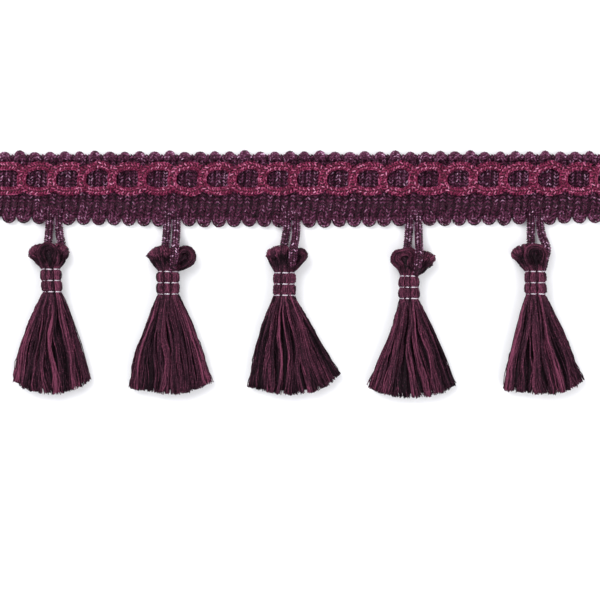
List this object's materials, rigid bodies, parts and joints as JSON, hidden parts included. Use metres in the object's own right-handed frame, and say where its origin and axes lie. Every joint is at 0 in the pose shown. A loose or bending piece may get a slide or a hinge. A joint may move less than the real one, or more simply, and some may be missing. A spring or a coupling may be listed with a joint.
{
  "type": "tassel trim",
  "caption": "Crocheted braid trim with a picot edge and a scalloped edge, a chain of crossed cords on its face, and bound yarn tassels on cord loops.",
  "frame": {"origin": "centre of the heading's flat back face", "axes": "+X along the heading, +Y towards its picot edge with the tassels towards -Y, +Z out of the face"},
  "size_m": [0.191, 0.0767, 0.0066],
  "materials": {
    "aubergine_chainette": "knitted viscose cord, soft sheen",
    "burgundy_chainette": "knitted viscose cord, bright sheen",
    "wine_floss": "loose spun yarn, matte with a soft sheen",
    "silver_thread": "two-ply metallised thread, bright"
  },
  "bodies": {
    "root": {"heading": "aubergine_chainette", "scroll_cord_1": "burgundy_chainette", "scroll_cord_2": "burgundy_chainette", "hanger_1": "aubergine_chainette", "tassel_1": "wine_floss", "binding_1_1": "silver_thread", "binding_1_2": "silver_thread", "binding_1_3": "silver_thread", "hanger_2": "aubergine_chainette", "tassel_2": "wine_floss", "binding_2_1": "silver_thread", "binding_2_2": "silver_thread", "binding_2_3": "silver_thread", "hanger_3": "aubergine_chainette", "tassel_3": "wine_floss", "binding_3_1": "silver_thread", "binding_3_2": "silver_thread", "binding_3_3": "silver_thread", "hanger_4": "aubergine_chainette", "tassel_4": "wine_floss", "binding_4_1": "silver_thread", "binding_4_2": "silver_thread", "binding_4_3": "silver_thread", "hanger_5": "aubergine_chainette", "tassel_5": "wine_floss", "binding_5_1": "silver_thread", "binding_5_2": "silver_thread", "binding_5_3": "silver_thread"}
  },
  "joints": []
}
